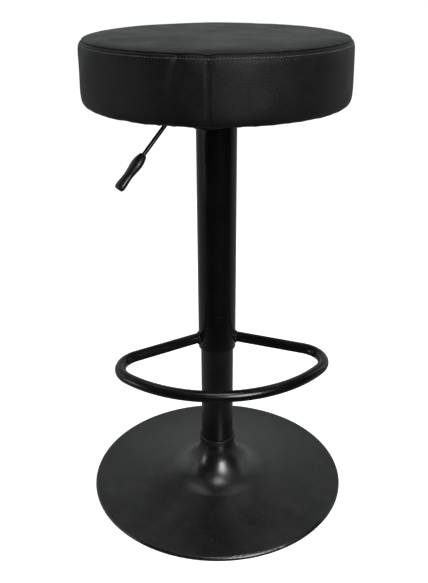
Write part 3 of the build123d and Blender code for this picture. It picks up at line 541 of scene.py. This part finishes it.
# ---- Foam pad ----
def foam_pad():
    """Closed foam form on the board, swollen against its cover by a cloth simulation."""
    low, high = board_high.z + 0.0002, seat_top - pad_inset - pad_swell
    wall = seat_radius - pad_inset - pad_swell
    outline = through(
        [(0.0, high), (0.10, high - 0.0003), (0.150, high - 0.0012), (0.164, high - 0.0028),
         (0.1695, high - 0.0055), (0.1735, high - 0.0095), (wall, high - 0.0150),
         (wall + 0.0004, high - 0.030), (wall, low + 0.018), (wall - 0.0015, low + 0.004),
         (wall - 0.008, low), (0.10, low), (0.0, low)]
    )
    rings = [(0.002 + 0.996 * k / pad_steps, pad_sides) for k in range(pad_steps + 1)]

    def shape(share, angle):
        radius, height = outline(share)
        return (radius * cos(angle), radius * sin(angle), height)

    points, faces = lathe(rings, shape)
    first, last = len(points), len(points) + 1
    points += [(0.0, 0.0, high), (0.0, 0.0, low)]
    rim = first - pad_sides
    faces += [(first, k, (k + 1) % pad_sides) for k in range(pad_sides)]
    faces += [(last, rim + (k + 1) % pad_sides, rim + k) for k in range(pad_sides)]
    return new_piece("seat_foam_pad", points, faces, foam), low


def remeshed(piece, size):
    bpy.context.view_layer.objects.active = piece
    remesh = piece.modifiers.new("remesh", "REMESH")
    remesh.mode = "VOXEL"
    remesh.voxel_size = size
    remesh.use_smooth_shade = True
    bake_modifiers(piece)


def bake_modifiers(piece):
    """Puts what the modifiers make into the piece's own mesh."""
    graph = bpy.context.evaluated_depsgraph_get()
    mesh = bpy.data.meshes.new_from_object(piece.evaluated_get(graph))
    piece.modifiers.clear()
    old = piece.data
    piece.data = mesh
    bpy.data.meshes.remove(old)


def swollen(piece, low):
    """Blows the pad up by a cloth simulation. Its underside is glued down and its seam ring held in.
    Returns how far each point moved, with the points it moved from."""
    remeshed(piece, 0.0055)
    rest = [v.co.copy() for v in piece.data.vertices]
    held = piece.vertex_groups.new(name="held")
    for index, spot in enumerate(rest):
        glued = 1.0 if spot.z < low + 0.003 else 0.0
        edge = hypot(spot.x, spot.y) > seam_radius - 0.012
        seam = 0.85 * bell(spot.z - seat_top + 0.008, 0.005) if edge else 0.0
        held.add([index], max(glued, seam), "REPLACE")
    cloth = piece.modifiers.new("cloth", "CLOTH")
    cloth.settings.quality = 6
    cloth.settings.mass = 0.4
    cloth.settings.tension_stiffness = 22
    cloth.settings.compression_stiffness = 12
    cloth.settings.shear_stiffness = 10
    cloth.settings.bending_stiffness = 3
    cloth.settings.use_pressure = True
    cloth.settings.uniform_pressure_force = 4.0
    cloth.settings.vertex_group_mass = "held"
    cloth.settings.effector_weights.gravity = 0.0
    cloth.point_cache.frame_start = 1
    cloth.point_cache.frame_end = 20
    for moment in range(1, 21):
        bpy.context.scene.frame_set(moment)
    bake_modifiers(piece)
    bpy.context.scene.frame_set(1)
    moves = []
    for vertex, start in zip(piece.data.vertices, rest):
        move = vertex.co - start
        if move.length > pad_cap:
            move *= pad_cap / move.length
        moves.append(move)
        vertex.co = start + move
    return rest, moves


pad, pad_low = foam_pad()
swell = None
starts, moves = swollen(pad, pad_low)
swell = kdtree.KDTree(len(starts))
for index, spot in enumerate(starts):
    swell.insert(spot, index)
swell.balance()
smooth = pad.modifiers.new("smooth", "SMOOTH")
smooth.factor = 0.5
smooth.iterations = 3
bake_modifiers(pad)
finer = pad.modifiers.new("finer", "SUBSURF")
finer.levels = finer.render_levels = 1


def pushed(spot):
    """How far the swollen pad pushes its cover at a spot, evened out over its neighbours."""
    if swell is None:
        return Vector()
    total, weight = Vector(), 0.0
    for _, index, distance in swell.find_n(spot, 24):
        share = 1.0 / (distance + 0.004)
        total += moves[index] * share
        weight += share
    return total / weight


# ---- Cover ----
def seam_dip(angle):
    """How far the seam is drawn down where the side band's ends meet."""
    return 0.0017 * bell(turn_between(angle, join_angle), radians(2.2))


def pucker(angle, radius, height):
    """Small gathers along the seam, uneven, about one to a stitch."""
    wave = 0.5 + 0.5 * cos(stitch_count * angle)
    return wave * (0.6 + 0.4 * ripple(angle, radius, height, 0.012, 5.0))


top_line = through(
    [(0.004, seat_top - 0.0002), (0.06, seat_top - 0.0003), (0.11, seat_top - 0.0006),
     (0.145, seat_top - 0.0011), (0.158, seat_top - 0.0018), (0.166, seat_top - 0.0028),
     (0.1712, seat_top - 0.0040), (0.1737, seat_top - 0.0049), (0.1745, seat_top - 0.0056),
     (0.1743, seat_top - 0.0060), (0.1735, seat_top - 0.0063)]
)


def top_spot(share, angle):
    radius, height = top_line(share)
    near_seam = bell(seam_radius - radius, 0.008)
    shoulder = bell(seam_radius - 0.006 - radius, 0.016)
    drag = ripple(angle, 0.18, 0.0, 0.016, 3.0) * ripple(angle, radius, 0.0, 0.06, 7.0)
    calm = min(1.0, radius / 0.03)
    height += calm * 0.0004 * ripple(angle, radius, 0.0, 0.055, 1.0) * (1 - near_seam)
    height += 0.0009 * shoulder * drag - 0.00018 * near_seam * pucker(angle, radius, height)
    height -= seam_dip(angle) * bell(seam_radius - radius, 0.006)
    radius += 0.0005 * near_seam * drag
    return radius * cos(angle), radius * sin(angle), height


band_line = through(
    [(0.1733, seat_top - 0.0064), (0.1743, seat_top - 0.0065), (0.1752, seat_top - 0.0070),
     (0.1764, seat_top - 0.0081), (0.1776, seat_top - 0.0100), (0.1786, seat_top - 0.0127),
     (0.1792, seat_top - 0.0160), (0.1795, seat_top - 0.0215), (0.1797, seat_top - 0.0300),
     (0.1801, seat_top - 0.0470), (0.1803, seat_bottom + 0.0250), (0.1802, seat_bottom + 0.0160),
     (0.1798, seat_bottom + 0.0098), (0.1790, seat_bottom + 0.0056), (0.1776, seat_bottom + 0.0024),
     (0.1752, seat_bottom + 0.0006), (0.1710, seat_bottom), (0.160, seat_bottom), (0.145, seat_bottom),
     (0.1296, seat_bottom)]
)


def band_spot(share, angle):
    radius, height = band_line(share)
    drop = seat_top - height
    near_seam = bell(drop - 0.0066, 0.005)
    stitched = bell(drop - stitch_drop, 0.0013)
    below = max(0.0, min(1.0, (0.022 - (height - seat_bottom)) / 0.022))
    tucked = height < seat_bottom + 0.01
    under = max(0.0, min(1.0, (0.1765 - radius) / 0.006)) if tucked else 0.0
    from_join = turn_between(angle, join_angle)
    groove = bell(from_join * seat_radius, 0.0011) * (1 - near_seam)
    tuck = bell(from_join, radians(3.2)) * bell(drop - 0.018, 0.014)
    from_dent = turn_between(angle, dent_angle - 0.12 * drop / 0.07)
    dent = bell(from_dent, radians(1.9)) * bell(drop - 0.024, 0.024)
    drag = ripple(angle, radius, height, 0.035, 11.0)
    pull = ripple(angle, 0.18, 0.2 * height, 0.020, 17.0)
    lumps = ripple(angle, 0.18, 0.3 * height, 0.028, 23.0)
    slack = bell(drop - 0.015, 0.008)
    radius += 0.0006 * drag + 0.0007 * pull * (slack + below)
    gathered = pucker(angle, 0.18, height)
    radius -= 0.00045 * stitched * (1 - 0.35 * gathered) + 0.0003 * slack * gathered
    radius -= (0.0008 * groove + 0.0007 * tuck + 0.0024 * dent) * (1 - under)
    height += 0.0011 * lumps * below * (1 - under) - seam_dip(angle) * near_seam
    gathers = abs(sin(hem_pleats * angle / 2 + 1.6 * ripple(angle, 0.18, 0.0, 0.06, 31.0)))
    fade = max(0.15, min(1.0, (radius - 0.148) / 0.012))
    height -= 0.0011 * under * fade * (1 - gathers) ** 2
    return radius * cos(angle), radius * sin(angle), height


def cover(name, node, rings, spot):
    """Leather shell on the pad: the outside is shaped here and its wall is added inwards."""
    points, faces = lathe(rings, spot)
    moved = []
    for point in points:
        point = Vector(point)
        push = pushed(point) if point.z > seat_bottom + 0.012 else Vector()
        outer = min(1.0, max(0.0, (hypot(point.x, point.y) - 0.12) / 0.05))
        moved.append(point + push * (crown_follow + (cover_follow - crown_follow) * outer))
    if rings[0][1] < seat_sides:
        middle = len(moved)
        count = rings[0][1]
        moved.append(sum((moved[k] for k in range(count)), Vector()) / count)
        faces += [(middle, (k + 1) % count, k) for k in range(count)]
    piece = new_piece(name, moved, [tuple(reversed(face)) for face in faces], black_leather)
    wall = piece.modifiers.new("leather wall", "SOLIDIFY")
    wall.thickness = leather_wall
    wall.offset = -1.0
    bake_modifiers(piece)
    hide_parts(node)
    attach(piece, "lift")
    return piece


def stations(start, end, count):
    return [start + (end - start) * k / count for k in range(count)]


top_rings = [(s, stitch_count // 4) for s in stations(0.0, 0.14, 4)]
top_rings += [(s, stitch_count) for s in stations(0.14, 0.86, 26)]
top_rings += [(s, seat_sides) for s in stations(0.86, 1.0, 34)] + [(1.0, seat_sides)]
band_rings = [(s, seat_sides) for s in stations(0.0, 0.10, 22)]
band_rings += [(s, seat_sides // 2) for s in stations(0.10, 1.0, 62)] + [(1.0, seat_sides // 2)]
cover("seat_cover_top", "cover_top_panel", top_rings, top_spot)
cover("seat_cover_band", "cover_side_band", band_rings, band_spot)

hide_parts("seat_foam")
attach(pad, "lift")


# ---- Growing pieces along a path ----
def growth_tree(name, numbers, material, build):
    """Geometry tree with named numbers. It ends in Realize Instances and Set Material."""
    tree = bpy.data.node_groups.new(name, "GeometryNodeTree")
    tree.interface.new_socket("Geometry", in_out="INPUT", socket_type="NodeSocketGeometry")
    for number, kind in numbers.items():
        tree.interface.new_socket(number, in_out="INPUT", socket_type="NodeSocket" + kind)
    tree.interface.new_socket("Geometry", in_out="OUTPUT", socket_type="NodeSocketGeometry")
    g = Graph(tree)
    given = g.put("NodeGroupInput").outputs
    grown = build(g, given)
    real = g.put("GeometryNodeRealizeInstances", {"Geometry": grown}).outputs[0]
    soft = g.put("GeometryNodeSetShadeSmooth", {"Geometry": real}).outputs[0]
    done = g.put("GeometryNodeSetMaterial", {"Geometry": soft, "Material": material}).outputs[0]
    g.put("NodeGroupOutput", {"Geometry": done})
    return tree


def grow(name, points, tree, numbers):
    """Piece grown along the closed line through the points."""
    count = len(points)
    mesh = bpy.data.meshes.new(name)
    mesh.from_pydata(points, [(k, (k + 1) % count) for k in range(count)], [])
    piece = bpy.data.objects.new(name, mesh)
    bpy.context.scene.collection.objects.link(piece)
    modifier = piece.modifiers.new("growth", "NODES")
    modifier.node_group = tree
    for item in tree.interface.items_tree:
        if item.in_out == "INPUT" and item.name in numbers:
            modifier[item.identifier] = numbers[item.name]
    bake_modifiers(piece)
    return piece


def stitch_row(g, given):
    """One arched stitch, laid along the line at each of its evenly spaced points."""
    line = g.put("GeometryNodeMeshToCurve", {"Mesh": given["Geometry"]}).outputs[0]
    line = g.put("GeometryNodeResampleCurve", {"Curve": line, "Count": given["Count"]}).outputs[0]
    half = g.math("MULTIPLY", given["Length"], 0.5)
    back = g.math("MULTIPLY", given["Length"], -0.5)
    sunk = g.math("MULTIPLY", given["Thickness"], -0.5)
    start = g.put("ShaderNodeCombineXYZ", {"X": back, "Z": sunk}).outputs[0]
    top = g.put("ShaderNodeCombineXYZ", {"Z": g.math("MULTIPLY", given["Thickness"], 1.1)}).outputs[0]
    end = g.put("ShaderNodeCombineXYZ", {"X": half, "Z": sunk}).outputs[0]
    inputs = {"Resolution": 5, "Start": start, "Middle": top, "End": end}
    arch = g.put("GeometryNodeCurveQuadraticBezier", inputs)
    inputs = {"Resolution": 6, "Radius": g.math("MULTIPLY", given["Thickness"], 0.5)}
    ply = g.put("GeometryNodeCurvePrimitiveCircle", inputs)
    inputs = {"Curve": arch.outputs[0], "Profile Curve": ply.outputs[0], "Fill Caps": True}
    stitch = g.put("GeometryNodeCurveToMesh", inputs).outputs[0]
    along = g.put("GeometryNodeInputTangent").outputs[0]
    spot = g.put("GeometryNodeInputPosition").outputs[0]
    out = g.vector_math("NORMALIZE", g.vector_math("MULTIPLY", spot, (1.0, 1.0, 0.0)))
    lift = g.put("ShaderNodeCombineXYZ", {"Z": given["Lean"]}).outputs[0]
    away = g.vector_math("NORMALIZE", g.vector_math("ADD", out, lift))
    turned = g.put("FunctionNodeAlignRotationToVector", {"Vector": along}, axis="X").outputs[0]
    inputs = {"Rotation": turned, "Vector": away}
    turned = g.put("FunctionNodeAlignRotationToVector", inputs, axis="Z", pivot_axis="X").outputs[0]
    least = g.math("MULTIPLY", given["Unevenness"], -1.0)
    inputs = {"Min": least, "Max": given["Unevenness"], "Seed": given["Seed"]}
    wobble = g.put("FunctionNodeRandomValue", inputs, data_type="FLOAT")
    skew = g.put("ShaderNodeCombineXYZ", {"Z": wobble.outputs[1]}).outputs[0]
    skew = g.put("FunctionNodeEulerToRotation", {"Euler": skew}).outputs[0]
    inputs = {"Rotation": turned, "Rotate By": skew}
    turned = g.put("FunctionNodeRotateRotation", inputs, rotation_space="LOCAL").outputs[0]
    inputs = {"Points": line, "Instance": stitch, "Rotation": turned}
    return g.put("GeometryNodeInstanceOnPoints", inputs).outputs[0]


def weld_bead(g, given):
    """Rounded bead along the line, swelling once for each step of the weld."""
    line = g.put("GeometryNodeMeshToCurve", {"Mesh": given["Geometry"]}).outputs[0]
    line = g.put("GeometryNodeResampleCurve", {"Curve": line, "Count": given["Count"]}).outputs[0]
    travelled = g.put("GeometryNodeSplineParameter").outputs["Length"]
    wave = g.math("SINE", g.math("DIVIDE", g.math("MULTIPLY", travelled, tau), given["Step"]))
    spot = g.put("GeometryNodeInputPosition").outputs[0]
    uneven = g.noise(spot, 240.0)
    swell_by = g.math("MULTIPLY_ADD", wave, given["Ripple"], g.scale(uneven, 0.8, 1.2))
    radius = g.math("MULTIPLY", swell_by, given["Radius"])
    round_bar = g.put("GeometryNodeCurvePrimitiveCircle", {"Resolution": 12, "Radius": 1.0}).outputs[0]
    inputs = {"Curve": line, "Profile Curve": round_bar, "Scale": radius}
    return g.put("GeometryNodeCurveToMesh", inputs).outputs[0]


def kinds(counts, measures):
    """Named numbers of a geometry tree: whole ones and the rest."""
    return {**dict.fromkeys(counts, "Int"), **dict.fromkeys(measures, "Float")}


stitch_numbers = kinds(["Count", "Seed"], ["Length", "Thickness", "Lean", "Unevenness"])
weld_numbers = kinds(["Count"], ["Radius", "Step", "Ripple"])
stitching = growth_tree("stitch row", stitch_numbers, thread, stitch_row)
welding = growth_tree("weld bead", weld_numbers, weld_paint, weld_bead)


def share_at_height(line, height, low, high):
    """Share of a profile line at which it comes down to a height."""
    for _ in range(40):
        middle = (low + high) / 2
        if line(middle)[1] > height:
            low = middle
        else:
            high = middle
    return low


stitch_share = share_at_height(band_line, seat_top - stitch_drop, 0.02, 0.3)
stitch_line = []
for k in range(seat_sides):
    spot = Vector(band_spot(stitch_share, tau * k / seat_sides))
    stitch_line.append(spot + pushed(spot) * cover_follow)
stitch_sizes = {"Count": stitch_count, "Length": 0.0030, "Thickness": 0.0009}
stitch_sizes.update({"Lean": 0.4, "Unevenness": 0.06, "Seed": 4})
topstitch = grow("seat_topstitch", stitch_line, stitching, stitch_sizes)
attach(topstitch, "lift")


# ---- Footrest welds ----
def arm_weld(side):
    """Line where a footrest arm runs into the column, round the arm."""
    bar = (footrest_high.z - footrest_low.z) / 2
    middle = (footrest_high.z + footrest_low.z) / 2
    ahead = Vector((side * cos(footrest_arm_lean), -sin(footrest_arm_lean), 0))
    across = Vector((side * sin(footrest_arm_lean), cos(footrest_arm_lean), 0))
    start = Vector((side * column_radius, 0, middle))
    line = []
    for k in range(72):
        turn = tau * k / 72
        spot = start + bar * (cos(turn) * across + sin(turn) * Vector((0, 0, 1)))
        b = spot.x * ahead.x + spot.y * ahead.y
        c = spot.x ** 2 + spot.y ** 2 - column_radius ** 2
        line.append(spot + ahead * (-b + sqrt(max(b * b - c, 0.0))))
    return line


for side in (-1, 1):
    bead = grow(
        "footrest_weld_" + ("left" if side < 0 else "right"),
        arm_weld(side),
        welding,
        {"Count": 120, "Radius": 0.0021, "Step": 0.0026, "Ripple": 0.12},
    )
    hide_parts("footrest_welds")
    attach(bead, "lift")


# ---- Dust cover ----
def cloth_spot(share, angle):
    """Underside of the stretched cloth, sagging between the staples."""
    radius = cloth_inner + (cloth_high.x - cloth_inner) * share
    step = 1 / (1 + exp(-(radius - hem_edge + 0.0012) / 0.0009))
    height = cloth_high.z - cloth_wall + (cloth_low.z - cloth_high.z + cloth_wall) * step
    between = 0.5 - 0.5 * cos(staple_count * angle)
    loose = ripple(angle, radius, 0.0, 0.022, 41.0)
    rim_sag = between * bell(radius - cloth_high.x, 0.014)
    height -= 0.0005 * rim_sag + 0.0005 * (0.5 + 0.5 * loose) * (1 - bell(radius - staple_ring, 0.004))
    radius += 0.0006 * share * ripple(angle, 0.15, 0.0, 0.012, 43.0) - 0.0004 * share
    return radius * cos(angle), radius * sin(angle), height


points, faces = lathe([(k / 34, 432) for k in range(35)], cloth_spot)
dust_cover = new_piece("seat_dust_cover", points, faces, dust_cloth)
wall = dust_cover.modifiers.new("cloth wall", "SOLIDIFY")
wall.thickness = cloth_wall
wall.offset = -1.0
bake_modifiers(dust_cover)
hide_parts("dust_cover")
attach(dust_cover, "lift")


# ---- Floor, light and camera ----
def studio_floor():
    """Pale floor. Reflections see it dimmer than the camera does, as a floor far from the lamps."""
    reach = 30.0
    points = [(-reach, -reach, 0), (reach, -reach, 0), (reach, reach, 0), (-reach, reach, 0)]
    material = bpy.data.materials.new("pale floor")
    material.use_nodes = True
    g = Graph(material.node_tree)
    inputs = {"Base Color": (0.86, 0.86, 0.86, 1.0), "Roughness": 0.9, "Specular IOR Level": 0.0}
    inputs.update({"Emission Color": (1.0, 1.0, 1.0, 1.0), "Emission Strength": 0.92})
    seen = g.put("ShaderNodeBsdfPrincipled", inputs)
    place = g.put("ShaderNodeTexCoord").outputs["Object"]
    ahead = g.put("ShaderNodeSeparateXYZ", {"Vector": place}).outputs["Y"]
    bounced = g.ramp(ahead, -0.55, 0.15, 0.02, 0.34)
    dim = g.put("ShaderNodeEmission", {"Color": (1.0, 1.0, 1.0, 1.0), "Strength": bounced})
    camera_ray = g.put("ShaderNodeLightPath").outputs["Is Camera Ray"]
    both = g.put("ShaderNodeMixShader", {0: camera_ray, 1: dim.outputs[0], 2: seen.outputs[0]})
    g.put("ShaderNodeOutputMaterial", {"Surface": both.outputs[0]})
    floor = new_piece("studio_floor", points, [(0, 1, 2, 3)], material)


def studio_world():
    """White to the camera. To the object, a bright sweep low down behind it and a dark room in front."""
    world = bpy.data.worlds.new("studio")
    world.use_nodes = True
    bpy.context.scene.world = world
    g = Graph(world.node_tree)
    toward = g.put("ShaderNodeTexCoord").outputs["Generated"]
    parts = g.put("ShaderNodeSeparateXYZ", {"Vector": toward}).outputs
    behind = g.ramp(parts["Y"], -0.15, 0.55)
    low = g.ramp(parts["Z"], 0.42, 0.80, 1.0, 0.10)
    strength = g.math("MULTIPLY_ADD", g.math("MULTIPLY", behind, low), 0.50, 0.02)
    lamp = g.put("ShaderNodeBackground", {"Color": (0.97, 1.0, 1.0, 1.0), "Strength": strength})
    white = g.put("ShaderNodeBackground", {"Color": (1.0, 1.0, 1.0, 1.0), "Strength": 1.0})
    camera_ray = g.put("ShaderNodeLightPath").outputs["Is Camera Ray"]
    both = g.put("ShaderNodeMixShader", {0: camera_ray, 1: lamp.outputs[0], 2: white.outputs[0]})
    g.put("ShaderNodeOutputWorld", {"Surface": both.outputs[0]})


def soft_lamp(name, place, target, width, height, power):
    data = bpy.data.lights.new(name, "AREA")
    data.shape = "RECTANGLE"
    data.size = width
    data.size_y = height
    data.energy = power
    lamp = bpy.data.objects.new(name, data)
    lamp.location = place
    lamp.rotation_euler = (Vector(target) - Vector(place)).to_track_quat("-Z", "Y").to_euler()
    bpy.context.scene.collection.objects.link(lamp)


studio_floor()
studio_world()
soft_lamp("front_window", (0.84, -2.51, 1.55), (0.0, 0.0, 0.15), 1.1, 1.4, 74)
soft_lamp("overhead_front", (0.1, -1.1, 3.0), (0.0, 0.0, 0.3), 0.8, 0.8, 17)
soft_lamp("overhead_wide", (0.0, 0.9, 3.2), (0.0, 0.0, 0.3), 2.6, 1.4, 15)
soft_lamp("low_left", (-2.5, -0.55, 0.35), (0.0, 0.0, 0.1), 0.5, 0.7, 6)
soft_lamp("side_left", (-2.6, 0.6, 1.5), (0.0, 0.0, 0.4), 0.9, 1.8, 3)
soft_lamp("side_right", (2.6, 0.6, 1.5), (0.0, 0.0, 0.4), 0.9, 1.8, 3)

view_turn = radians(5.34)  # the stool is turned this far from the camera's straight-ahead
view_pan = radians(-0.245)
view_pitch = radians(24.456)
view_roll = radians(-0.249)
view_distance = 1.0388
view_height = 0.8108
turn = Matrix.Rotation(-view_turn, 3, "Z")
ahead = turn @ Vector((sin(view_pan) * cos(view_pitch), cos(view_pan) * cos(view_pitch), -sin(view_pitch)))
right = turn @ Vector((cos(view_pan), -sin(view_pan), 0.0))
up = right.cross(ahead)
rolled_right = cos(view_roll) * right + sin(view_roll) * up
rolled_up = cos(view_roll) * up - sin(view_roll) * right
lens = bpy.data.cameras.new("view")
lens.lens = 46.864
lens.clip_start = 0.02
lens.clip_end = 100.0
camera = bpy.data.objects.new("view", lens)
axes = Matrix((rolled_right, rolled_up, -ahead)).transposed().to_4x4()
place = Vector((-view_distance * sin(view_turn), -view_distance * cos(view_turn), view_height))
camera.matrix_world = Matrix.Translation(place) @ axes
bpy.context.scene.collection.objects.link(camera)
bpy.context.scene.camera = camera
bpy.context.scene.view_settings.view_transform = "Standard"
